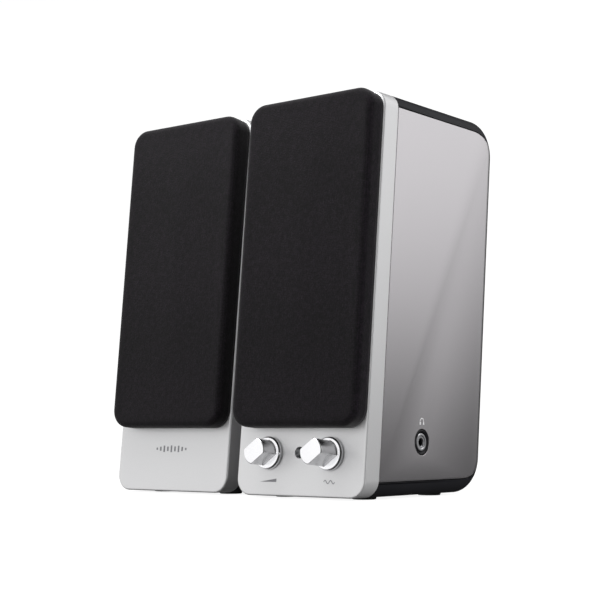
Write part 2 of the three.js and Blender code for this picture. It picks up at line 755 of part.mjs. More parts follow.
// Everything that both cabinets share.
function cabinet(prefix, panel, frontHoles, panelHoles, hasJack) {
  const speaker = new THREE.Group();
  const front = new THREE.Group();
  const back = new THREE.Group();
  front.rotation.x = -lean;
  back.rotation.x = -lean;
  back.position.y = cabinetDepth;
  speaker.add(front, back);

  speaker.add(named(`${prefix}_front_bezel`, frontBezel(frontHoles), silver));
  speaker.add(named(`${prefix}_cabinet_shell`, cabinetShell(panel, hasJack), blackShell));
  speaker.add(named(`${prefix}_side_cover_left`, sideCover(-1, false), panelSilver));
  speaker.add(named(`${prefix}_side_cover_right`, sideCover(1, hasJack), panelSilver));
  for (const [place, x, y] of footPlaces()) {
    const foot = revolve([[0, footSunk - footHeight], [footRadius - 0.4, footSunk - footHeight],
      [footRadius, footSunk - footHeight + 0.4], [footRadius, footSunk - seam], [0, footSunk - seam]]);
    speaker.add(named(`${prefix}_foot_${place}`, foot.rotateX(Math.PI / 2), rubberBlack, [x, y, 0]));
  }

  front.add(named(`${prefix}_grille_frame`, grilleFrame(), blackPlastic));
  front.add(named(`${prefix}_grille_cloth`, grilleCloth(), clothBlack));
  front.add(named(`${prefix}_baffle`, baffle(), blackPlastic));
  const wooferAt = [0, 0, wooferHeight];
  front.add(named(`${prefix}_woofer_basket`, wooferBasket(), steel, wooferAt));
  front.add(named(`${prefix}_woofer_magnet`, wooferMagnet(), steel, wooferAt));
  front.add(named(`${prefix}_woofer_cone`, wooferCone(), paperCone, wooferAt));
  front.add(named(`${prefix}_woofer_surround`, wooferSurround(), rubberBlack, wooferAt));
  front.add(named(`${prefix}_tweeter_body`, tweeterUnit(), blackPlastic, [0, 0, tweeterHeight]));
  front.add(named(`${prefix}_tweeter_dome`, tweeterDiaphragm(), paperCone, [0, 0, tweeterHeight]));

  back.add(named(`${prefix}_rear_panel`, rearPanel(panel, panelHoles), blackPlastic));
  back.add(named(`${prefix}_port_tube`, portTube(), blackPlastic, [0, 0, portHeight]));
  return { speaker, front, back };
}

const panelMiddle = (panel) => panel.bottom + panel.height / 2;
const socketHole = (x, z) => [x, z, socketRadius + 0.2];
const lineInHeight = activePanel.bottom + activePanel.height - 22;
const speakerOutHeight = panelMiddle(activePanel);
const inletHeight = activePanel.bottom + 18;
const lineInSpread = 9;

const controls = [['volume', controlCentre - controlSpread, volumeReach],
  ['tone', controlCentre + controlSpread, toneReach]];
const active = cabinet('active', activePanel,
  [...controls.map(([, x]) => [x, controlHeight, bushingRadius + seam]),
    [controlCentre, lampHeight, lampRadius + seam]],
  [socketHole(-lineInSpread, lineInHeight), socketHole(lineInSpread, lineInHeight),
    socketHole(0, speakerOutHeight), socketHole(0, inletHeight)], true);

for (const [name, x, reach] of controls) {
  const at = [x, 0, controlHeight];
  active.front.add(named(`${name}_knob`, knob(reach), silver, at));
  active.front.add(named(`${name}_shaft`, shaft(reach), steel, at));
  active.front.add(named(`${name}_control`, controlUnit(), blackPlastic, at));
}
active.front.add(named('control_board', controlBoard(), boardGreen, [controlCentre, 0, 0]));
active.front.add(named('power_lamp', lamp(), lampGrey, [controlCentre, 0, lampHeight]));

active.speaker.add(named('headphone_collar', jackAt(jackCollar()), blackPlastic));
active.speaker.add(named('headphone_sleeve', jackAt(jackSleeveBody()), chrome));
active.speaker.add(named('headphone_jack', jackAt(jackBody()), blackPlastic));

active.back.add(named('line_in_left', phonoSocket(), chrome, [-lineInSpread, 0, lineInHeight]));
active.back.add(named('line_in_right', phonoSocket(), chrome, [lineInSpread, 0, lineInHeight]));
active.back.add(named('speaker_out', phonoSocket(), chrome, [0, 0, speakerOutHeight]));
active.back.add(named('power_inlet', powerInlet(), blackPlastic, [0, 0, inletHeight]));
active.back.add(named('amplifier_board', amplifierBoard(activePanel), boardGreen));
active.back.add(named('heat_sink', heatSink(), aluminium, [0, boardPlane - seam, activePanel.bottom + 12]));
for (const [place, x, z] of screwPlaces(activePanel)) {
  active.back.add(named(`rear_screw_${place}`, screw(), steel, [x, 0, z]));
}

const satellite = cabinet('satellite', satellitePanel, [], [socketHole(0, panelMiddle(satellitePanel))], false);
satellite.back.add(named('speaker_in', phonoSocket(), chrome, [0, 0, panelMiddle(satellitePanel)]));
satellite.speaker.position.set(-cabinetWidth - speakerGap, satelliteSetBack, 0);

const speakers = new THREE.Group();
speakers.add(active.speaker, satellite.speaker);

// Stand the pair on the ground, centred on its own outline.
speakers.updateMatrixWorld(true);
const extent = new THREE.Box3().setFromObject(speakers, true);
const middle = extent.getCenter(new THREE.Vector3());
speakers.position.set(-middle.x, -middle.y, -extent.min.z);

export default speakers;
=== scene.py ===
import json
import math

import bmesh
import bpy
from mathutils import Matrix, Vector


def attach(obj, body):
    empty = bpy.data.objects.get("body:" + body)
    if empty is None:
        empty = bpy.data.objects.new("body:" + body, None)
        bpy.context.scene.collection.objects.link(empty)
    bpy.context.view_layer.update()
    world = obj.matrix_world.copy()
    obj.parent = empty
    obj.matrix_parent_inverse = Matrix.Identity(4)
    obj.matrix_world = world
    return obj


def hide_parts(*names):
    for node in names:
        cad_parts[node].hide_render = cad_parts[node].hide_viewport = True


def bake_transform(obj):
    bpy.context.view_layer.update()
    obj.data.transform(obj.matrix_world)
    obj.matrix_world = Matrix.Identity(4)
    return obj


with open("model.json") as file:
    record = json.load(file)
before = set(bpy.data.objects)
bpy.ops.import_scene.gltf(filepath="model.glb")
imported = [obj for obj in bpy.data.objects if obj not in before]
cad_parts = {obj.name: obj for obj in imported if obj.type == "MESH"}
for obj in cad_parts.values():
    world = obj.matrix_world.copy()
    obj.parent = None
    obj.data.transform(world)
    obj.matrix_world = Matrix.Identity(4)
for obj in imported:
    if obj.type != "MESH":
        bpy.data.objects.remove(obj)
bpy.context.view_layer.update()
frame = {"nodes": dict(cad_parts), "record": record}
scene = bpy.context.scene
scene.view_settings.view_transform = "Standard"
print("frame loaded")

# Sizes of the cabinet, in metres, as the frame was made. Heights on the front run up its slope.
cabinet = {
    "width": 0.079, "height": 0.2, "depth": 0.108, "lean": math.radians(5.8), "edge": 0.0084,
    "rearTop": 0.02, "rearBottom": 0.0175, "wall": 0.002, "seam": 0.0003,
}
seam = cabinet["seam"]
lean = cabinet["lean"]
slopeTop = cabinet["height"] / math.cos(lean)
activeFoot = Vector((0.04625, -0.059892, 0.0012))     # foot of the active front plate, at its middle
satelliteShift = Vector((-0.0925, 0.0077, 0))
speakers = {"active": activeFoot, "satellite": activeFoot + satelliteShift}
leanTurn = Matrix.Rotation(-lean, 4, "X")
leanShear = Matrix(((1, 0, 0, 0), (0, 1, math.tan(lean), 0), (0, 0, 1, 0), (0, 0, 0, 1)))
backTurn = Matrix.Translation((0, cabinet["depth"], 0)) @ leanTurn

cameraSettings = {
    "place": activeFoot + Vector((0.4224, -0.5356, 0.032)),
    "forward": Vector((-0.61509, 0.7829, 0.09343)),
    "lens": 83.6, "sensor": 36, "clip": (0.05, 50),
}


def addCamera(settings):
    camera = bpy.data.objects.new("camera", bpy.data.cameras.new("camera"))
    camera.data.lens = settings["lens"]
    camera.data.sensor_width = settings["sensor"]
    camera.data.clip_start, camera.data.clip_end = settings["clip"]
    camera.location = settings["place"]
    camera.rotation_mode = "QUATERNION"
    camera.rotation_quaternion = settings["forward"].to_track_quat("-Z", "Y")
    scene.collection.objects.link(camera)
    scene.camera = camera


addCamera(cameraSettings)
print("camera set")


def linearValue(value):
    value /= 255
    return value / 12.92 if value <= 0.04045 else ((value + 0.055) / 1.055) ** 2.4


def tint(red, green, blue):
    return linearValue(red), linearValue(green), linearValue(blue), 1


def addNoise(tree, place, scale, detail=2):
    noise = tree.nodes.new("ShaderNodeTexNoise")
    noise.inputs["Scale"].default_value = scale
    noise.inputs["Detail"].default_value = detail
    tree.links.new(place.outputs["Object"], noise.inputs["Vector"])
    return noise.outputs["Fac"]


# A maths node, whose inputs are numbers or the outputs of other nodes.
def addMath(tree, operation, *inputs):
    node = tree.nodes.new("ShaderNodeMath")
    node.operation = operation
    for socket, value in zip(node.inputs, inputs):
        if isinstance(value, (int, float)):
            socket.default_value = value
        else:
            tree.links.new(value, socket)
    return node.outputs[0]


def addRange(tree, value, before, after=(0, 1), interpolation="LINEAR"):
    node = tree.nodes.new("ShaderNodeMapRange")
    node.interpolation_type = interpolation
    node.inputs["From Min"].default_value, node.inputs["From Max"].default_value = before
    node.inputs["To Min"].default_value, node.inputs["To Max"].default_value = after
    tree.links.new(value, node.inputs["Value"])
    return node.outputs["Result"]


# Colours a shader between the settings' two tints.
def addTints(tree, shader, level, settings):
    colour = tree.nodes.new("ShaderNodeMix")
    colour.data_type = "RGBA"
    colour.inputs["A"].default_value = settings["low"]
    colour.inputs["B"].default_value = settings["high"]
    tree.links.new(level, colour.inputs["Factor"])
    tree.links.new(colour.outputs["Result"], shader.inputs["Base Color"])


def addBump(tree, shader, height, strength, distance):
    bump = tree.nodes.new("ShaderNodeBump")
    bump.inputs["Strength"].default_value = strength
    bump.inputs["Distance"].default_value = distance
    tree.links.new(height, bump.inputs["Height"])
    tree.links.new(bump.outputs["Normal"], shader.inputs["Normal"])


grainSettings = {"detail": 3, "span": (0.6, 1.4), "bumpDepth": 0.00005}


# Every finish has its own grain: a fine noise that shifts its colour, its roughness and its height.
def addFinish(name, settings):
    material = bpy.data.materials.new(name)
    material.use_nodes = True
    tree = material.node_tree
    shader = tree.nodes["Principled BSDF"]
    for socket, value in settings.get("constants", {}).items():
        shader.inputs[socket].default_value = value
    place = tree.nodes.new("ShaderNodeTexCoord")
    grain = addNoise(tree, place, settings["grain"], grainSettings["detail"])
    mottle = addNoise(tree, place, settings["mottle"])
    level = addRange(tree, addMath(tree, "ADD", grain, mottle), grainSettings["span"])
    addTints(tree, shader, level, settings)
    tree.links.new(addRange(tree, grain, (0, 1), settings["rough"]), shader.inputs["Roughness"])
    addBump(tree, shader, grain, settings["bump"], settings.get("bumpDepth", grainSettings["bumpDepth"]))
    return material


finishes = {
    "bezelSilver": {"low": tint(209, 209, 210), "high": tint(217, 217, 218), "grain": 2600, "mottle": 9,
                    "rough": (0.36, 0.44), "bump": 0.08, "constants": {"Metallic": 0.6}},
    "panelSilver": {"low": tint(201, 198, 201), "high": tint(207, 204, 207), "grain": 2600, "mottle": 9,
                    "rough": (0.21, 0.26), "bump": 0.03, "constants": {"Metallic": 0.94}},
    "knobMetal": {"low": tint(236, 236, 238), "high": tint(245, 245, 247), "grain": 1800, "mottle": 60,
                  "rough": (0.2, 0.27), "bump": 0.05, "constants": {"Metallic": 1.0}},
    "shellBlack": {"low": tint(24, 24, 26), "high": tint(33, 33, 36), "grain": 2200, "mottle": 20,
                   "rough": (0.42, 0.56), "bump": 0.5, "bumpDepth": 0.0001,
                   "constants": {"Specular IOR Level": 0.12}},
    "plasticBlack": {"low": tint(18, 18, 20), "high": tint(27, 27, 29), "grain": 1500, "mottle": 40,
                     "rough": (0.45, 0.6), "bump": 0.2, "constants": {"Specular IOR Level": 0.4}},
    "rubber": {"low": tint(16, 16, 16), "high": tint(25, 25, 25), "grain": 2500, "mottle": 50,
               "rough": (0.7, 0.85), "bump": 0.4, "constants": {"Specular IOR Level": 0.3}},
    "paper": {"low": tint(30, 30, 32), "high": tint(47, 47, 49), "grain": 900, "mottle": 120,
              "rough": (0.75, 0.9), "bump": 0.6, "bumpDepth": 0.0002},
    "chrome": {"low": tint(226, 226, 230), "high": tint(238, 238, 241), "grain": 600, "mottle": 90,
               "rough": (0.14, 0.22), "bump": 0.02, "constants": {"Metallic": 1.0}},
    "steel": {"low": tint(136, 138, 142), "high": tint(157, 159, 163), "grain": 1600, "mottle": 60,
              "rough": (0.35, 0.5), "bump": 0.1, "constants": {"Metallic": 1.0}},
    "ferrite": {"low": tint(38, 38, 40), "high": tint(53, 53, 55), "grain": 1300, "mottle": 80,
                "rough": (0.6, 0.75), "bump": 0.3},
    "aluminium": {"low": tint(182, 184, 188), "high": tint(201, 203, 207), "grain": 1200, "mottle": 50,
                  "rough": (0.35, 0.48), "bump": 0.1, "constants": {"Metallic": 1.0}},
    "board": {"low": tint(18, 70, 38), "high": tint(28, 92, 50), "grain": 500, "mottle": 200,
              "rough": (0.3, 0.45), "bump": 0.1, "constants": {"Coat Weight": 0.3}},
    "lens": {"low": tint(58, 60, 63), "high": tint(84, 86, 90), "grain": 700, "mottle": 200,
             "rough": (0.1, 0.18), "bump": 0.02,
             "constants": {"Transmission Weight": 0.35, "Coat Weight": 0.5}},
    "greyPrint": {"low": tint(124, 124, 128), "high": tint(142, 142, 146), "grain": 3000, "mottle": 300,
                  "rough": (0.5, 0.65), "bump": 0.1},
    "palePrint": {"low": tint(196, 196, 198), "high": tint(212, 212, 214), "grain": 3000, "mottle": 300,
                  "rough": (0.5, 0.65), "bump": 0.1},
    "redPlastic": {"low": tint(150, 22, 22), "high": tint(173, 30, 28), "grain": 900, "mottle": 90,
                   "rough": (0.35, 0.5), "bump": 0.1},
    "whitePlastic": {"low": tint(222, 222, 218), "high": tint(237, 237, 233), "grain": 900, "mottle": 90,
                     "rough": (0.35, 0.5), "bump": 0.1},
    "blackGloss": {"low": tint(14, 14, 15), "high": tint(22, 22, 24), "grain": 1400, "mottle": 80,
                   "rough": (0.18, 0.3), "bump": 0.05},
}
materials = {name: addFinish(name, settings) for name, settings in finishes.items()}

slotFinish = {
    "silver_paint": "bezelSilver", "panel_paint": "panelSilver", "shell_black": "shellBlack",
    "black_plastic": "plasticBlack", "cloth": "plasticBlack", "rubber": "rubber", "paper": "paper",
    "chrome": "chrome", "steel": "steel", "ferrite": "ferrite", "aluminium": "aluminium", "board": "board",
    "lens": "lens",
}
nodeRecord = {part["node"]: part for part in frame["record"]["subparts"]}
bodyOf = {node: body for body, nodes in frame["record"]["behaviour"]["bodies"].items() for node in nodes}


def finishOf(node):
    return "knobMetal" if node.endswith("_knob") else slotFinish[nodeRecord[node]["material_slot"]]


def dress(thing, material):
    thing.data.materials.clear()
    thing.data.materials.append(material)


for name, node in frame["nodes"].items():
    dress(node, materials[finishOf(name)])
print("materials made")


def addMesh(name, points, faces):
    mesh = bpy.data.meshes.new(name)
    mesh.from_pydata([tuple(point) for point in points], [], faces)
    thing = bpy.data.objects.new(name, mesh)
    scene.collection.objects.link(thing)
    work = bmesh.new()
    work.from_mesh(mesh)
    bmesh.ops.recalc_face_normals(work, faces=work.faces)
    work.to_mesh(mesh)
    work.free()
    return thing


def moved(thing, matrix):
    thing.data.transform(matrix)
    return thing


# Cuts, joins or keeps the overlap of two closed pieces, and removes the second one.
def shape(body, tool, operation="DIFFERENCE"):
    step = body.modifiers.new("shape", "BOOLEAN")
    step.operation = operation
    step.solver = "EXACT"
    step.object = tool
    bpy.context.view_layer.update()
    result = bpy.data.meshes.new_from_object(body.evaluated_get(bpy.context.evaluated_depsgraph_get()))
    body.modifiers.clear()
    body.data = result
    bpy.data.objects.remove(tool)
    return body

meshSettings = {"weld": 0.00001, "onAxis": 0.0000001, "edge": 0.00025, "edgeSteps": 2, "crease": 32,
                "turnedCrease": 35}


def smoothMesh(thing, crease):
    thing.data.shade_smooth()
    thing.data.set_sharp_from_angle(angle=math.radians(crease))


# Gives a piece its soft edges, its finish and its body. `node` is the CAD piece that it stands for.
def finishPiece(thing, node, finish=None, edge=meshSettings["edge"], crease=meshSettings["crease"]):
    work = bmesh.new()
    work.from_mesh(thing.data)
    bmesh.ops.remove_doubles(work, verts=work.verts, dist=meshSettings["weld"])
    bmesh.ops.recalc_face_normals(work, faces=work.faces)
    work.to_mesh(thing.data)
    work.free()
    if edge:
        thing.data.shade_smooth()
        bevel = thing.modifiers.new("soft edges", "BEVEL")
        bevel.width = edge
        bevel.segments = meshSettings["edgeSteps"]
        bevel.limit_method = "ANGLE"
        bevel.angle_limit = math.radians(crease)
        bevel.use_clamp_overlap = False
        bevel.harden_normals = True
    else:
        smoothMesh(thing, crease)
    dress(thing, materials[finish or finishOf(node)])
    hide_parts(node)
    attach(thing, bodyOf[node])
    return thing


def roundedOutline(width, bottom, top, radius, steps=10):
    points = []
    across = width / 2 - radius
    low, high = bottom + radius, top - radius
    for x, z, start in ((across, low, -90), (across, high, 0), (-across, high, 90), (-across, low, 180)):
        for i in range(steps + 1):
            angle = math.radians(start + 90 * i / steps)
            points.append((x + radius * math.cos(angle), z + radius * math.sin(angle)))
    return points


def ringAt(outline, y):
    return [Vector((x, y, z)) for x, z in outline]


# Faces between neighbouring rings of `count` points each.
def bandFaces(count, rings):
    faces = []
    for ring in range(rings - 1):
        near, far = ring * count, (ring + 1) * count
        for i in range(count):
            j = (i + 1) % count
            faces.append([near + i, near + j, far + j, far + i])
    return faces


def loft(name, rings):
    count = len(rings[0])
    points = [point for ring in rings for point in ring]
    faces = bandFaces(count, len(rings))
    faces.append(list(range(count)))
    faces.append(list(range(len(points) - count, len(points))))
    return addMesh(name, points, faces)


def turnedPoint(radius, y, angle):
    return Vector((radius * math.sin(angle), y, radius * math.cos(angle)))


# A profile of (radius, y) turned about the Y axis; one that starts off the axis closes on itself.
def revolve(name, profile, steps=64):
    rows, points = [], []
    angles = [math.tau * i / steps for i in range(steps)]
    for radius, y in profile:
        start = len(points)
        if radius < meshSettings["onAxis"]:
            rows.append([start] * steps)
            points.append(Vector((0, y, 0)))
        else:
            rows.append(list(range(start, start + steps)))
            points += [turnedPoint(radius, y, angle) for angle in angles]
    pairs = list(zip(rows, rows[1:]))
    if profile[0][0] > meshSettings["onAxis"]:
        pairs.append((rows[-1], rows[0]))
    faces = []
    for low, high in pairs:
        for i in range(steps):
            j = (i + 1) % steps
            face = list(dict.fromkeys((low[i], low[j], high[j], high[i])))
            if len(face) > 2:
                faces.append(face)
    return addMesh(name, points, faces)


def rod(radius, start, end, steps=64):
    return revolve("rod", [(0, start), (radius, start), (radius, end), (0, end)], steps)


def rectangle(width, height, x=0.0, z=0.0):
    return [(x - width / 2, z - height / 2), (x + width / 2, z - height / 2),
            (x + width / 2, z + height / 2), (x - width / 2, z + height / 2)]


def block(width, depth, height, x, y, z):
    outline = rectangle(width, height)
    return moved(loft("block", [ringAt(outline, -depth / 2), ringAt(outline, depth / 2)]),
                 Matrix.Translation((x, y, z)))


def plate(name, outline, start, end):
    return loft(name, [ringAt(outline, start), ringAt(outline, end)])


# The cabinet's outer form moved inwards by `inset`, upright: it leans by a shear afterwards.
def cabinetForm(inset, edgeSteps=10, sideSteps=16):
    half = cabinet["width"] / 2 - inset
    curve = cabinet["edge"] - inset
    rings = []
    for side in (-1, 1):
        for i in range(edgeSteps + 1):
            angle = math.pi / 2 * (edgeSteps - i if side < 0 else i) / edgeSteps
            drawIn = inset + curve * (1 - math.cos(angle))
            x = side * (half - curve + curve * math.sin(angle))
            rings.append([Vector((x, y, z)) for y, z in sideProfile(drawIn, sideSteps)])
    return loft("form", rings)


def sideProfile(drawIn, steps):
    points = [(-bezelSettings["depth"], drawIn)]
    corners = ((cabinet["rearBottom"], cabinet["rearBottom"], -90),
               (cabinet["rearTop"], cabinet["height"] - cabinet["rearTop"], 0))
    for radius, z, start in corners:
        for i in range(steps + 1):
            angle = math.radians(start + 90 * i / steps)
            reach = radius - drawIn
            back = cabinet["depth"] - radius
            points.append((back + reach * math.cos(angle), z + reach * math.sin(angle)))
    points.append((-bezelSettings["depth"], cabinet["height"] - drawIn))
    return points


bezelSettings = {
    "depth": 0.0117, "wall": 0.0024, "fillet": 0.0013, "filletSteps": 6, "spigotWall": 0.0016,
    "spigotLength": 0.004, "ledge": 0.002, "join": 0.0001, "edge": 0.00015,
}
grilleSettings = {
    "inset": 0.0005, "bottom": 0.0334, "top": slopeTop - 0.0007, "depth": 0.0104, "swell": 0.001,
    "corner": 0.0095, "edge": 0.003, "back": 0.0003, "sink": 0.00025, "thickness": 0.0005,
    "stretch": 1.01, "window": 0.005,
}
coverSettings = {
    "thickness": 0.002, "margin": 0.0074, "topRun": 0.025, "topRise": 0.02, "bottomRun": 0.022,
    "bottomRise": 0.016, "ovalSteps": 14, "overrun": 0.001,
}
controlSettings = {"height": 0.021, "spread": 0.0188, "centre": -0.00045, "lampHeight": 0.0215,
                   "bushing": 0.0042, "lamp": 0.0025}
jackSettings = {"back": 0.0474, "height": 0.0263, "hole": 0.0062, "rim": 0.001}
portSettings = {"height": 0.8 * cabinet["height"], "outer": 0.0111, "flange": 0.015, "flangeDepth": 0.0015}
panels = {
    "active": {"width": 0.054, "bottom": 0.02, "height": 0.092},
    "satellite": {"width": 0.044, "bottom": 0.03, "height": 0.044},
}
panelSettings = {"thickness": 0.0019, "ledge": 0.006, "socket": 0.0043, "screw": 0.0012,
                 "corner": 0.004, "cornerLoss": 0.002, "edge": 0.0002}
feet = {"radius": 0.006, "sunk": 0.0008, "x": 0.024, "places": {"front": 0.022, "rear": 0.08}}
# How far a cut runs past a wall, and the box that opens the front of the shell.
cutter = {"out": 0.003, "through": 0.01, "near": 0.001, "past": 0.002, "front": (0.2, 0.05, 0.5)}
wallUnderCover = coverSettings["thickness"] + seam + cabinet["wall"]
footTurn = Matrix.Rotation(math.pi / 2, 4, "X")


def panelOutline(panel, shrink):
    corner = panelSettings["corner"] - min(shrink, panelSettings["cornerLoss"])
    return roundedOutline(panel["width"] - 2 * shrink, panel["bottom"] + shrink,
                          panel["bottom"] + panel["height"] - shrink, corner)


def screwPlaces(panel):
    x = panel["width"] / 2 - panelSettings["ledge"] / 2
    low = panel["bottom"] + panelSettings["ledge"] / 2
    high = panel["bottom"] + panel["height"] - panelSettings["ledge"] / 2
    return {"bottom_left": (-x, low), "bottom_right": (x, low),
            "top_left": (-x, high), "top_right": (x, high)}


def footPlaces():
    return {f"{end}_{side}": (sign * feet["x"], y) for end, y in feet["places"].items()
            for side, sign in (("left", -1), ("right", 1))}


def jackPlane():
    y = jackSettings["back"] + jackSettings["height"] * math.tan(lean)
    place = Matrix.Translation((cabinet["width"] / 2, y, jackSettings["height"]))
    return place @ Matrix.Rotation(-math.pi / 2, 4, "Z")


# The side cover's zone, seen from the side a plate with long oval rear corners.
def coverZone(side, growth):
    cover = coverSettings
    front = bezelSettings["depth"] + seam - growth
    back = cabinet["depth"] + cover["overrun"]
    bottom, top = cover["margin"] - growth, cabinet["height"] - cover["margin"] + growth
    points = [(front, bottom)]
    ovals = ((cover["bottomRun"], cover["bottomRise"], bottom + cover["bottomRise"], -90),
             (cover["topRun"], cover["topRise"], top - cover["topRise"], 0))
    for run, rise, z, start in ovals:
        for i in range(cover["ovalSteps"] + 1):
            angle = math.radians(start + 90 * i / cover["ovalSteps"])
            points.append((back - run + run * math.cos(angle), z + rise * math.sin(angle)))
    points.append((front, top))
    inner = side * (cabinet["width"] / 2 - cabinet["edge"] - growth)
    outer = side * (cabinet["width"] / 2 + cover["overrun"])
    return loft("zone", [[Vector((x, y, z)) for y, z in points] for x in (inner, outer)])


def addCover(speaker, side, hasJack):
    name = "right" if side > 0 else "left"
    cover = shape(cabinetForm(0), coverZone(side, 0), "INTERSECT")
    cover = moved(shape(cover, cabinetForm(coverSettings["thickness"])), leanShear)
    if hasJack:
        hole = rod(jackSettings["hole"] + seam, -cutter["through"], cutter["out"])
        shape(cover, moved(hole, jackPlane()))
    cover.name = f"{speaker}_side_panel_{name}"
    cover.matrix_world = Matrix.Translation(speakers[speaker])
    finishPiece(cover, f"{speaker}_side_cover_{name}")


def addShell(speaker, hasJack):
    panel = panels[speaker]
    shell = shape(cabinetForm(0), cabinetForm(wallUnderCover))
    keptFront = bezelSettings["depth"] + seam
    width, depth, height = cutter["front"]
    shape(shell, block(width, depth, height, 0, keptFront - depth / 2, cabinet["height"] / 2))
    for side in (-1, 1):
        shape(shell, shape(coverZone(side, seam), cabinetForm(coverSettings["thickness"] + seam)))
    moved(shell, leanShear)
    pocket = panelSettings["thickness"] + 2 * seam
    deep, out = 3 * wallUnderCover, cutter["out"]
    portPlace = backTurn @ Matrix.Translation((0, 0, portSettings["height"]))
    flangeDepth = portSettings["flangeDepth"] + seam
    ledge = panelSettings["ledge"]
    shape(shell, moved(plate("pocket", panelOutline(panel, -seam), -pocket, out), backTurn))
    shape(shell, moved(plate("opening", panelOutline(panel, ledge), -deep, out), backTurn))
    shape(shell, moved(rod(portSettings["outer"] + seam, -deep, out), portPlace))
    shape(shell, moved(rod(portSettings["flange"] + seam, -flangeDepth, out), portPlace))
    for x, z in screwPlaces(panel).values():
        hole = rod(panelSettings["screw"] + seam, -deep, 0, turnSteps["hole"])
        shape(shell, moved(hole, backTurn @ Matrix.Translation((x, 0, z))))
    for x, y in footPlaces().values():
        recess = rod(feet["radius"] + seam, -cutter["near"], feet["sunk"])
        shape(shell, moved(recess, Matrix.Translation((x, y, 0)) @ footTurn))
    if hasJack:
        shape(shell, moved(rod(jackSettings["hole"] - jackSettings["rim"], -deep, out), jackPlane()))
    shell.name = f"{speaker}_shell_moulding"
    shell.matrix_world = Matrix.Translation(speakers[speaker])
    finishPiece(shell, f"{speaker}_cabinet_shell")


def bezelOutline(inset):
    return roundedOutline(cabinet["width"] - 2 * inset, inset, cabinet["height"] - inset,
                          cabinet["edge"] - inset)


def addBezel(speaker, holes):
    form, grille = bezelSettings, grilleSettings
    wall, fillet = form["wall"], form["fillet"]
    rings = []
    for i in range(form["filletSteps"] + 1):
        angle = math.pi / 2 * i / form["filletSteps"]
        drawIn = fillet * (1 - math.sin(angle))
        rings.append(ringAt(bezelOutline(drawIn), fillet * (1 - math.cos(angle))))
    rings.append(ringAt(bezelOutline(0), form["depth"]))
    spigotOuter = wallUnderCover + seam
    spigotInner = spigotOuter + form["spigotWall"]
    ledge, spigotEnd = form["depth"] - form["ledge"], form["depth"] + form["spigotLength"]
    bezel = shape(loft("bezel", rings), plate("hollow", bezelOutline(wall), wall, ledge))
    shape(bezel, plate("spigot", bezelOutline(spigotOuter), ledge - form["join"], spigotEnd), "UNION")
    shape(bezel, plate("throat", bezelOutline(spigotInner), wall, spigotEnd + cutter["near"]))
    moved(bezel, leanShear)
    border = grille["window"]
    window = roundedOutline(cabinet["width"] - 2 * (grille["inset"] + border), grille["bottom"] + border,
                            grille["top"] - border, grille["corner"] - border / 2)
    shape(bezel, moved(plate("window", window, -cutter["out"], wall + cutter["past"]), leanTurn))
    for x, z, radius in holes:
        hole = rod(radius, -cutter["out"], wall + cutter["past"])
        shape(bezel, moved(hole, leanTurn @ Matrix.Translation((x, 0, z))))
    bezel.name = f"{speaker}_front_moulding"
    bezel.matrix_world = Matrix.Translation(speakers[speaker])
    finishPiece(bezel, f"{speaker}_front_bezel", edge=form["edge"])


turnSteps = {"driver": 96, "foot": 64, "socket": 48, "screw": 32, "hole": 24}
knobPlaces = {"volume": controlSettings["centre"] - controlSettings["spread"],
              "tone": controlSettings["centre"] + controlSettings["spread"]}
bushingHole, lampHole = controlSettings["bushing"] + seam, controlSettings["lamp"] + seam
frontHoles = [(x, controlSettings["height"], bushingHole) for x in knobPlaces.values()]
frontHoles.append((controlSettings["centre"], controlSettings["lampHeight"], lampHole))
addBezel("active", frontHoles)
addBezel("satellite", [])
for speaker in speakers:
    addShell(speaker, speaker == "active")
    for side in (-1, 1):
        addCover(speaker, side, speaker == "active" and side > 0)
print("mouldings made")

profileSettings = {"weld": 0.000002, "near": 0.000005}


# Reads the outline of a turned CAD piece where it crosses the plane x = 0, z > 0 of its own place.
def turnedProfile(node, plane):
    near = profileSettings["near"]
    work = bmesh.new()
    work.from_mesh(frame["nodes"][node].data)
    bmesh.ops.remove_doubles(work, verts=work.verts, dist=profileSettings["weld"])
    work.transform(plane.inverted())
    half = {vert.index for vert in work.verts if abs(vert.co.x) < near and vert.co.z > -near}
    work.verts.ensure_lookup_table()
    nextTo = {index: set() for index in half}
    for edge in work.edges:
        first, second = (vert.index for vert in edge.verts)
        if first in half and second in half:
            nextTo[first].add(second)
            nextTo[second].add(first)
    ends = [index for index in half if len(nextTo[index]) == 1]
    path = [ends[0] if ends else min(half)]
    while True:
        following = [index for index in nextTo[path[-1]] if index not in path]
        if not following:
            break
        path.append(min(following))
    profile = [(max(work.verts[index].co.z, 0), work.verts[index].co.y) for index in path]
    work.free()
    return profile


def addTurned(node, plane, steps=turnSteps["socket"], edge=0.0001, finish=None):
    piece = revolve(f"{node}_turned", turnedProfile(node, plane), steps)
    piece.matrix_world = plane
    return finishPiece(piece, node, finish, edge)


# A small turned piece that stands for no CAD piece.
def addExtra(name, profile, steps, plane, finish, body):
    piece = revolve(name, profile, steps)
    smoothMesh(piece, meshSettings["turnedCrease"])
    dress(piece, materials[finish])
    piece.matrix_world = plane
    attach(piece, body)


def frontPlane(speaker, x=0.0, z=0.0):
    return Matrix.Translation(speakers[speaker]) @ leanTurn @ Matrix.Translation((x, 0, z))


def backPlane(speaker, x=0.0, z=0.0):
    return Matrix.Translation(speakers[speaker]) @ backTurn @ Matrix.Translation((x, 0, z))


# The half roll, turned from its CAD profile in slices round the cone.
surroundSettings = {"slices": 12, "steps": 8, "lip": 0.0016, "ledge": 0.0016, "crease": 40}


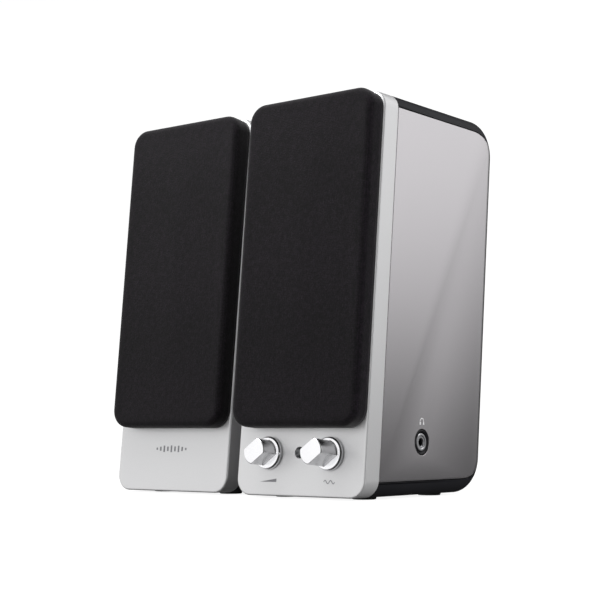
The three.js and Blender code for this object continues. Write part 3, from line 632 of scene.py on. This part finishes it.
def addSurround(speaker, plane):
    node = f"{speaker}_woofer_surround"
    profile = turnedProfile(node, plane)
    slices, steps = surroundSettings["slices"], surroundSettings["steps"]
    for number in range(slices):
        points = []
        for step in range(steps + 1):
            angle = math.tau * (number + step / steps) / slices
            points += [turnedPoint(radius, y, angle) for radius, y in profile]
        count = len(profile)
        faces = bandFaces(count, steps + 1)
        faces += [list(range(count))[::-1], list(range(steps * count, (steps + 1) * count))]
        piece = addMesh(f"{node}_{number + 1}", points, faces)
        piece.matrix_world = plane
        finishPiece(piece, node, edge=0, crease=surroundSettings["crease"])
        piece.parent = None                               # the slice is left without a parent
        piece.matrix_world = plane
        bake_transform(piece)


basketSettings = {
    "radius": 0.033, "throat": 0.0288, "flange": 0.0025, "ledge": 0.0008, "depth": 0.02, "seat": 0.022,
    "opening": 0.0126, "floor": 0.002, "wall": 0.0018, "rim": 0.0028, "ledgeWall": 0.0016, "base": 0.001,
    "window": 0.026, "windowEnds": 0.007, "windowReach": 0.009, "windowShift": 0.001, "edge": 0.00015,
}


# The cast frame of the woofer: flange, four-windowed cup and the seat of the magnet.
def addBasket(speaker, plane):
    node = f"{speaker}_woofer_basket"
    turned = plane.inverted()
    front = min((turned @ vert.co).y for vert in frame["nodes"][node].data.vertices)
    cast = basketSettings
    radius, throat, seat, opening = cast["radius"], cast["throat"], cast["seat"], cast["opening"]
    flange = front + cast["flange"]
    ledge = front + cast["ledge"]
    floor = flange + cast["depth"]
    under = floor + cast["floor"]
    body = revolve(f"{node}_turned", [
        (radius, front), (radius, flange), (throat, flange), (seat, floor), (seat, under),
        (opening, under),
        (opening, floor), (seat - cast["wall"], floor), (throat - cast["wall"], flange + cast["base"]),
        (throat - cast["ledgeWall"], ledge), (radius - cast["rim"], ledge), (radius - cast["rim"], front),
    ], turnSteps["driver"])
    for quarter in range(4):
        window = block(2 * throat, floor - flange - cast["windowEnds"], cast["window"],
                       throat + cast["windowReach"], (floor + flange) / 2 + cast["windowShift"], 0)
        shape(body, moved(window, Matrix.Rotation(quarter * math.pi / 2, 4, "Y")))
    body.matrix_world = plane
    finishPiece(body, node, edge=cast["edge"])


driverSettings = {"woofer": 0.033, "tweeter": 0.024, "wooferGap": 0.2, "tweeterGap": 0.48, "edge": 0.0002}
windowFoot = grilleSettings["bottom"] + grilleSettings["window"]
windowTop = grilleSettings["top"] - grilleSettings["window"]
freeHeight = windowTop - windowFoot - 2 * (driverSettings["woofer"] + driverSettings["tweeter"])
wooferHeight = windowFoot + driverSettings["wooferGap"] * freeHeight + driverSettings["woofer"]
tweeterHeight = windowTop - driverSettings["tweeterGap"] * freeHeight - driverSettings["tweeter"]
turns, softEdge = turnSteps["driver"], driverSettings["edge"]
for speaker in speakers:
    wooferPlane = frontPlane(speaker, z=wooferHeight)
    tweeterPlane = frontPlane(speaker, z=tweeterHeight)
    addTurned(f"{speaker}_woofer_cone", wooferPlane, turns, 0)
    addSurround(speaker, wooferPlane)
    addBasket(speaker, wooferPlane)
    addTurned(f"{speaker}_woofer_magnet", wooferPlane, turns, finish="ferrite")
    addTurned(f"{speaker}_tweeter_body", tweeterPlane, turns, softEdge)
    addTurned(f"{speaker}_tweeter_dome", tweeterPlane, turns, 0)
    addTurned(f"{speaker}_port_tube", backPlane(speaker, z=portSettings["height"]), turns, softEdge)
    for place, (x, y) in footPlaces().items():
        under = Matrix.Translation(speakers[speaker] + Vector((x, y, 0))) @ footTurn
        addTurned(f"{speaker}_foot_{place}", under, turnSteps["foot"], softEdge)
jackWorld = Matrix.Translation(speakers["active"]) @ jackPlane()
addTurned("headphone_collar", jackWorld, turns, bezelSettings["edge"])
addTurned("headphone_sleeve", jackWorld, turns)

# The bright chamfered mouth of the headphone sleeve, from its bore outwards.
mouth = {"bore": 0.0019, "chamfer": 0.0004, "face": 0.0006, "outer": 0.0029, "bevel": 0.00006,
         "boreDepth": 0.0011, "back": 0.0015, "shoulder": 0.0001}
mouthOuter = mouth["outer"] + mouth["bevel"]
addExtra("headphone_mouth_ring", [
    (mouth["bore"], -mouth["boreDepth"]), (mouth["bore"] + mouth["chamfer"], -mouth["face"]),
    (mouth["outer"], -mouth["face"]), (mouthOuter, -mouth["face"] - mouth["shoulder"]),
    (mouthOuter, -mouth["back"]), (mouth["bore"], -mouth["back"]),
], turnSteps["foot"], jackWorld, "chrome", "active_cabinet")
print("drivers, ports, feet and headphone ring turned")

socketPlaces = {
    "line_in_left": ("active", -0.009, 0.09), "line_in_right": ("active", 0.009, 0.09),
    "speaker_out": ("active", 0, 0.066), "speaker_in": ("satellite", 0, 0.052),
}
inletHeight = 0.038
for node, (speaker, x, z) in socketPlaces.items():
    addTurned(node, backPlane(speaker, x, z))
addTurned("power_inlet", backPlane("active", 0, inletHeight))
for place, (x, z) in screwPlaces(panels["active"]).items():
    addTurned(f"rear_screw_{place}", backPlane("active", x, z), turnSteps["screw"], 0.00005)

# Coloured insulating rings round the phono sockets, and the satellite panel's own screws.
ringSettings = {"inner": 0.0019, "outer": 0.0035, "start": 0.0085, "end": 0.0093, "innerEdge": 0.0001,
                "outerEdge": 0.0003,
                "finish": {"line_in_left": "whitePlastic", "line_in_right": "redPlastic",
                           "speaker_out": "blackGloss", "speaker_in": "blackGloss"}}
inner, outer, start, end = (ringSettings[key] for key in ("inner", "outer", "start", "end"))
innerEdge, outerEdge = ringSettings["innerEdge"], ringSettings["outerEdge"]
ringProfile = [(inner, start), (inner, end - innerEdge), (inner + innerEdge, end),
               (outer - outerEdge, end), (outer, end - outerEdge), (outer, start)]
for node, (speaker, x, z) in socketPlaces.items():
    addExtra(f"{node}_insulator", ringProfile, turnSteps["socket"], backPlane(speaker, x, z),
             ringSettings["finish"][node], bodyOf[node])
screwPlace = screwPlaces(panels["active"])["top_left"]
screwProfile = turnedProfile("rear_screw_top_left", backPlane("active", *screwPlace))
for place, (x, z) in screwPlaces(panels["satellite"]).items():
    addExtra(f"satellite_screw_{place}", screwProfile, turnSteps["screw"], backPlane("satellite", x, z),
             "steel", "satellite_cabinet")
print("rear details made")

knobSettings = {
    "skirt": 0.0082, "skirtFace": 0.0076, "skirtEdge": 0.0012, "skirtHeight": 0.0029, "skirtDrop": 0.0003,
    "grip": 0.0064, "flats": 0.0087, "turn": math.radians(37), "standOff": 0.0005, "bore": 0.0032,
    "boreDepth": 0.003, "crown": 0.0004, "edge": 0.00018, "reach": {"volume": 0.0126, "tone": 0.0158},
}


def addKnob(name, x):
    form = knobSettings
    reach, grip, skirt, bore = form["reach"][name], form["grip"], form["skirt"], form["bore"]
    top, foot, boreEnd = form["skirtHeight"], -form["standOff"], form["boreDepth"] - reach
    profile = [(0, -reach), (grip - form["crown"], -reach), (grip, form["crown"] - reach), (grip, -top),
               (form["skirtFace"], form["skirtDrop"] - top), (skirt, foot - form["skirtEdge"]),
               (skirt, foot), (bore, foot), (bore, boreEnd), (0, boreEnd)]
    knob = revolve(f"{name}_knob_turned", profile, turnSteps["driver"])
    length = reach - top + cutter["past"]
    for side in (-1, 1):
        flat = block(4 * grip, length, grip, 0, -top - length / 2, side * (form["flats"] + grip) / 2)
        shape(knob, moved(flat, Matrix.Rotation(-form["turn"], 4, "Y")))
    knob.matrix_world = frontPlane("active", x, controlSettings["height"])
    finishPiece(knob, f"{name}_knob", edge=form["edge"])


for name, x in knobPlaces.items():
    addKnob(name, x)
print("knobs made")


def addRearPanel(speaker, sockets):
    form, through = panelSettings, cutter["through"]
    outline = panelOutline(panels[speaker], 0)
    board = plate(f"{speaker}_rear_plate", outline, -seam - form["thickness"], -seam)
    holes = [(x, z, form["socket"], turnSteps["socket"]) for x, z in sockets]
    holes += [(x, z, form["screw"] + seam, turnSteps["hole"])
              for x, z in screwPlaces(panels[speaker]).values()]
    for x, z, radius, steps in holes:
        shape(board, moved(rod(radius, -through, through, steps), Matrix.Translation((x, 0, z))))
    board.matrix_world = backPlane(speaker)
    finishPiece(board, f"{speaker}_rear_panel", edge=form["edge"])


activeSockets = [(x, z) for speaker, x, z in socketPlaces.values() if speaker == "active"]
addRearPanel("active", activeSockets + [(0, inletHeight)])
addRearPanel("satellite", [(0, socketPlaces["speaker_in"][2])])
print("rear panels made")

clothSettings = {
    "shares": (0.04, 0.2, 0.4, 0.6, 0.8, 0.93), "least": 0.0005, "middle": 0.0006, "foldSteps": 7,
    "sides": (-0.005, -0.0025), "turnIn": 0.0006, "cornerSteps": 12, "sideSteps": 12, "fold": 0.4,
}


# A rounded outline with more points along its straight sides.
def roundedRing(width, bottom, top, radius, y):
    cornerSteps, sideSteps = clothSettings["cornerSteps"], clothSettings["sideSteps"]
    points = ringAt(roundedOutline(width, bottom, top, radius, cornerSteps), y)
    spaced = []
    for i, point in enumerate(points):
        following = points[(i + 1) % len(points)]
        steps = sideSteps if i % (cornerSteps + 1) == cornerSteps else 1
        spaced += [point.lerp(following, step / steps) for step in range(steps)]
    return spaced


# Grille cloth: one cut of knit pulled over the frame and turned in behind its rim.
def addCloth(speaker):
    form, laid = grilleSettings, clothSettings
    width = cabinet["width"] - 2 * form["inset"]
    bottom, top, corner = form["bottom"], form["top"], form["corner"]
    edge, half = form["edge"], form["thickness"] / 2
    face, rim = half - form["depth"], -form["back"] - half

    def ring(inset, y, least=0.0):
        return roundedRing(width - 2 * inset, bottom + inset, top - inset, max(corner - inset, least), y)

    rings = []
    for share in laid["shares"]:
        inset = min(half + edge + (width / 2 - edge) * (1 - share), width / 2 - laid["middle"])
        rings.append(ring(inset, face + form["sink"] * math.sin(math.pi * share) ** 0.5, laid["least"]))
    for i in range(laid["foldSteps"] + 1):
        angle = math.radians(90 * i / laid["foldSteps"])
        rings.append(ring(half + edge * (1 - math.sin(angle)), face + edge * (1 - math.cos(angle))))
    rings += [ring(half, y) for y in (*laid["sides"], rim)]
    rings.append(ring(half + laid["turnIn"], rim))
    count = len(rings[0])
    points = [point for ring in rings for point in ring]
    for point in points:                                  # the grille grows thicker towards its top
        share = (2 * point.z - bottom - top) / (top - bottom)
        point.y *= 1 + share * form["swell"] / form["depth"]
    faces = bandFaces(count, len(rings))
    faces.append(list(range(count - 1, -1, -1)))
    cloth = addMesh(f"{speaker}_cloth_cover", points, faces)
    cloth.data.shade_smooth()
    dress(cloth, clothKnit)
    cloth.matrix_world = frontPlane(speaker)
    solid = cloth.modifiers.new("thickness", "SOLIDIFY")
    solid.thickness = form["thickness"]
    solid.offset = 0
    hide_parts(f"{speaker}_grille_cloth")
    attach(cloth, f"{speaker}_grille")


knitSettings = {
    "stitch": 1150, "randomness": 0.55, "slub": 420, "fluff": 2600, "detail": 3, "fluffShare": 0.25,
    "low": tint(2, 2, 3), "high": tint(29, 23, 30), "span": (0.2, 0.72), "rough": (0.85, 0.98),
    "bump": 0.6, "bumpDepth": 0.0003,
    "constants": {"Sheen Weight": 0.12, "Sheen Roughness": 0.5, "Specular IOR Level": 0.15},
}


def addKnit(settings):
    material = bpy.data.materials.new("clothKnit")
    material.use_nodes = True
    tree = material.node_tree
    shader = tree.nodes["Principled BSDF"]
    for socket, value in settings["constants"].items():
        shader.inputs[socket].default_value = value
    place = tree.nodes.new("ShaderNodeTexCoord")
    stitch = tree.nodes.new("ShaderNodeTexVoronoi")
    stitch.inputs["Scale"].default_value = settings["stitch"]
    stitch.inputs["Randomness"].default_value = settings["randomness"]
    tree.links.new(place.outputs["Object"], stitch.inputs["Vector"])
    slub, fluff = (addNoise(tree, place, settings[key], settings["detail"]) for key in ("slub", "fluff"))
    loop = addMath(tree, "SUBTRACT", 1, stitch.outputs["Distance"])     # loops stand up between the holes
    thread = addMath(tree, "MULTIPLY", loop, slub)
    height = addMath(tree, "MULTIPLY_ADD", fluff, settings["fluffShare"], thread)
    addTints(tree, shader, addRange(tree, height, settings["span"]), settings)
    tree.links.new(addRange(tree, fluff, (0, 1), settings["rough"]), shader.inputs["Roughness"])
    addBump(tree, shader, height, settings["bump"], settings["bumpDepth"])
    return material


clothKnit = addKnit(knitSettings)
for speaker in speakers:
    addCloth(speaker)
print("cloths made")

printLift = 0.00003


# A flat print made of strips, each a list of outline points on a plane's x and z.
def addPrint(name, outlines, plane, finish, body):
    points, faces = [], []
    for outline in outlines:
        faces.append(list(range(len(points), len(points) + len(outline))))
        points += [Vector((x, 0, z)) for x, z in outline]
    made = addMesh(name, points, faces)
    dress(made, materials[finish])
    made.matrix_world = plane
    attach(made, body)


def strip(path, width):
    left, right = [], []
    for i, point in enumerate(path):
        before, after = path[max(i - 1, 0)], path[min(i + 1, len(path) - 1)]
        along = Vector((after[0] - before[0], after[1] - before[1])).normalized()
        across = Vector((-along.y, along.x)) * width / 2
        left.append((point[0] + across.x, point[1] + across.y))
        right.append((point[0] - across.x, point[1] - across.y))
    return left + right[::-1]


def arcPath(radius, start, end, steps=16):
    angles = [math.radians(start + (end - start) * i / steps) for i in range(steps + 1)]
    return [(radius * math.cos(angle), radius * math.sin(angle)) for angle in angles]


markSettings = {"x": -0.001, "z": 0.0225, "pitch": 0.0026, "bar": 0.0011,
                "heights": (0.0012, 0.0022, 0.0034, 0.0024, 0.0036, 0.0026, 0.0034, 0.0022, 0.0012)}
signSettings = {"height": 0.0076, "volume": -0.019, "tone": 0.0187, "wedge": 0.0104, "thin": -0.0007,
                "thick": 0.001, "wave": 0.0066, "swing": 0.0008, "waves": 2, "waveSteps": 24,
                "line": 0.00045}
halfWedge, thin, thick = signSettings["wedge"] / 2, signSettings["thin"], signSettings["thick"]
wedge = [(-halfWedge, thin), (halfWedge, thin), (halfWedge, thick)]
waveLength, waveSteps = signSettings["wave"], signSettings["waveSteps"]
wavePath = [(waveLength * (i / waveSteps - 0.5),
             signSettings["swing"] * math.sin(math.tau * signSettings["waves"] * i / waveSteps))
            for i in range(waveSteps + 1)]
middleBar = len(markSettings["heights"]) // 2
bars = [rectangle(markSettings["bar"], height, (i - middleBar) * markSettings["pitch"])
        for i, height in enumerate(markSettings["heights"])]
frontLift = Matrix.Translation((0, -printLift, 0))
addPrint("volume_print", [wedge],
         frontPlane("active", signSettings["volume"], signSettings["height"]) @ frontLift,
         "greyPrint", "active_cabinet")
addPrint("tone_print", [strip(wavePath, signSettings["line"])],
         frontPlane("active", signSettings["tone"], signSettings["height"]) @ frontLift,
         "greyPrint", "active_cabinet")
addPrint("level_mark", bars, frontPlane("satellite", markSettings["x"], markSettings["z"]) @ frontLift,
         "greyPrint", "satellite_cabinet")

headphoneSettings = {"back": 0.0464, "z": 0.0366, "radius": 0.0016, "line": 0.0004, "droop": 10,
                     "pad": (0.0009, 0.0015), "padDrop": -0.0009}
radius, droop = headphoneSettings["radius"], headphoneSettings["droop"]
headphones = [strip(arcPath(radius, -droop, 180 + droop), headphoneSettings["line"])]
for x in (-radius, radius):
    headphones.append(rectangle(*headphoneSettings["pad"], x, headphoneSettings["padDrop"]))
markHeight = headphoneSettings["z"]
markBack = headphoneSettings["back"] + markHeight * math.tan(lean)
sidePlace = Vector((cabinet["width"] / 2 + printLift, markBack, markHeight))
sidePlane = Matrix.Translation(activeFoot + sidePlace) @ Matrix.Rotation(math.pi / 2, 4, "Z")
addPrint("headphone_mark", headphones, sidePlane, "palePrint", "active_cabinet")
print("prints made")

stageSettings = {
    "radius": 1.6, "bend": 0.4, "rise": 1.9, "glow": 0.885, "steps": 96, "rings": 4, "bendSteps": 12,
    "rough": 0.9, "specular": 0.1, "noise": 3, "low": (0.3, 0.3, 0.3, 1), "high": (0.32, 0.32, 0.32, 1),
}


# A round pale bowl, so that every view has the same plain ground.
def addStage(settings):
    material = bpy.data.materials.new("paleStage")
    material.use_nodes = True
    tree = material.node_tree
    shader = tree.nodes["Principled BSDF"]
    shader.inputs["Roughness"].default_value = settings["rough"]
    shader.inputs["Specular IOR Level"].default_value = settings["specular"]
    shader.inputs["Emission Color"].default_value = (1, 1, 1, 1)
    shader.inputs["Emission Strength"].default_value = settings["glow"]
    noise = tree.nodes.new("ShaderNodeTexNoise")
    noise.inputs["Scale"].default_value = settings["noise"]
    addTints(tree, shader, noise.outputs["Fac"], settings)
    radius, bend, rings, bendSteps = (settings[key] for key in ("radius", "bend", "rings", "bendSteps"))
    path = [(radius * i / rings, 0) for i in range(rings + 1)]
    for i in range(1, bendSteps + 1):
        angle = math.radians(90 * i / bendSteps)
        path.append((radius + bend * math.sin(angle), bend * (1 - math.cos(angle))))
    path.append((radius + bend, settings["rise"]))
    rows, points = [], []
    for distance, z in path:
        start = len(points)
        count = 1 if distance == 0 else settings["steps"]
        rows.append([start + i % count for i in range(settings["steps"])])
        for i in range(count):
            angle = math.tau * i / count
            points.append((distance * math.cos(angle), distance * math.sin(angle), z))
    faces = []
    for low, high in zip(rows, rows[1:]):
        for i in range(settings["steps"]):
            j = (i + 1) % settings["steps"]
            faces.append(list(dict.fromkeys((low[i], low[j], high[j], high[i]))))
    mesh = bpy.data.meshes.new("floor")
    mesh.from_pydata(points, [], faces)
    mesh.shade_smooth()
    floor = bpy.data.objects.new("floor", mesh)
    scene.collection.objects.link(floor)
    dress(floor, material)
    floor.visible_diffuse = False
    floor.visible_glossy = False
    floor.visible_shadow = False


addStage(stageSettings)

# The studio round the object: soft glows, each at an azimuth from +Y towards +X and an elevation.
studio = {
    "ambient": 0.035,
    "glows": {
        "frontLeft": {"from": (-149, 16), "strength": 1.08, "core": 48, "fade": 76},
        "backRight": {"from": (40, 33), "strength": 1.04, "core": 19, "fade": 39},
    },
}
softboxes = {
    "topFront": {"from": (-158, 66), "distance": 0.36, "size": (0.2, 0.2), "energy": 1.1},
    "right": {"from": (82, 4), "distance": 0.9, "size": (0.4, 0.5), "energy": 8, "glossy": False},
}
lampTarget = Vector((0, 0, 0.12))


def towards(azimuth, elevation):
    azimuth, elevation = math.radians(azimuth), math.radians(elevation)
    return Vector((math.sin(azimuth) * math.cos(elevation), math.cos(azimuth) * math.cos(elevation),
                   math.sin(elevation)))


def addSoftbox(name, settings):
    light = bpy.data.lights.new(name, "AREA")
    light.shape = "RECTANGLE"
    light.size, light.size_y = settings["size"]
    light.energy = settings["energy"]
    lamp = bpy.data.objects.new(name, light)
    direction = towards(*settings["from"])
    lamp.location = lampTarget + direction * settings["distance"]
    lamp.rotation_mode = "QUATERNION"
    lamp.rotation_quaternion = (-direction).to_track_quat("-Z", "Y")
    lamp.visible_camera = False
    lamp.visible_glossy = settings.get("glossy", True)
    scene.collection.objects.link(lamp)


def addStudio(settings):
    world = bpy.data.worlds.new("studio")
    scene.world = world
    world.use_nodes = True
    tree = world.node_tree
    place = tree.nodes.new("ShaderNodeTexCoord")
    total = settings["ambient"]
    for glow in settings["glows"].values():
        dot = tree.nodes.new("ShaderNodeVectorMath")
        dot.operation = "DOT_PRODUCT"
        dot.inputs[1].default_value = towards(*glow["from"])
        tree.links.new(place.outputs["Generated"], dot.inputs[0])
        span = (math.cos(math.radians(glow["fade"])), math.cos(math.radians(glow["core"])))
        share = addRange(tree, dot.outputs["Value"], span, (0, glow["strength"]), "SMOOTHSTEP")
        total = addMath(tree, "ADD", share, total)
    tree.links.new(total, tree.nodes["Background"].inputs["Color"])


for name, settings in softboxes.items():
    addSoftbox(name, settings)
addStudio(studio)
print("stage lit")
